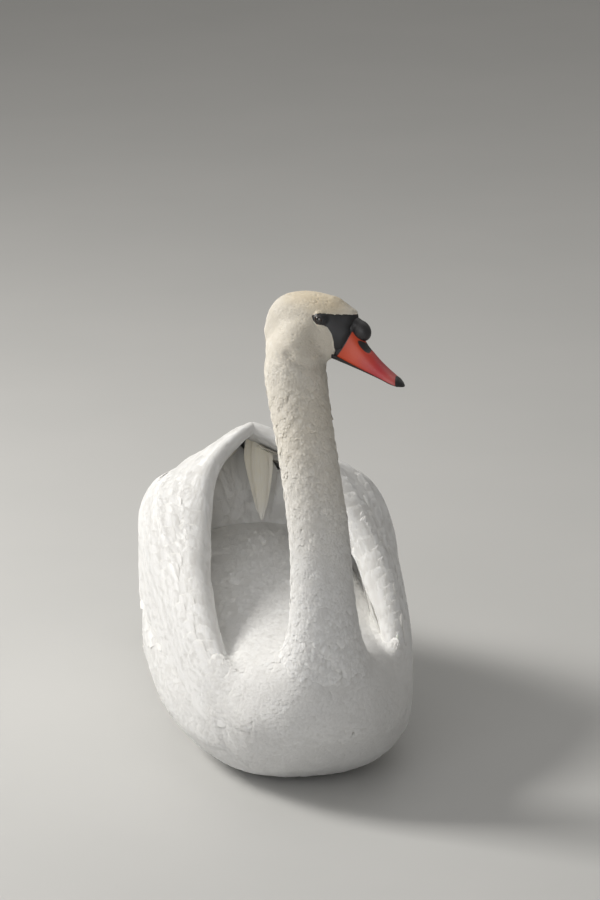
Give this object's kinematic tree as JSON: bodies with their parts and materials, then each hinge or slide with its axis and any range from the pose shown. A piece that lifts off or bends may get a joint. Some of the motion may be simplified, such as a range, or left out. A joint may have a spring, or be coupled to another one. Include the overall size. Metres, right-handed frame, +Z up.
{
  "type": "mute swan",
  "caption": "Life-size white swan resting on its belly, neck raised, head turned aside, wings arched over its back.",
  "frame": {"origin": "centre of the flat of the belly that the bird rests on", "axes": "+Z up; -Y the way the breast faces, so +Y runs back to the tail; +X to the bird's left"},
  "size_m": [0.3234, 0.7829, 0.6194],
  "materials": {
    "plumage": "soft white feathers, creamy on the neck and head",
    "flight_feathers": "smooth white vanes of the long wing and tail feathers",
    "bill": "smooth orange-red horn with a black cutting edge",
    "black_skin": "black knob and nail of the bill",
    "eye": "glossy dark brown",
    "foot_skin": "dark scaly skin"
  },
  "bodies": {
    "root": {"trunk": "plumage", "neck_lower": "plumage", "neck_upper": "plumage", "head": "plumage", "bill_upper": "bill", "bill_lower": "bill", "bill_nail": "black_skin", "bill_knob": "black_skin", "eye_left": "eye", "eye_right": "eye", "wing_left": "plumage", "wing_right": "plumage", "wing_left_tertials": "flight_feathers", "wing_right_tertials": "flight_feathers", "wing_left_secondaries": "flight_feathers", "wing_right_secondaries": "flight_feathers", "wing_left_primaries": "flight_feathers", "wing_right_primaries": "flight_feathers", "tail": "flight_feathers", "leg_left": "foot_skin", "leg_right": "foot_skin", "foot_left": "foot_skin", "foot_right": "foot_skin"}
  },
  "joints": []
}
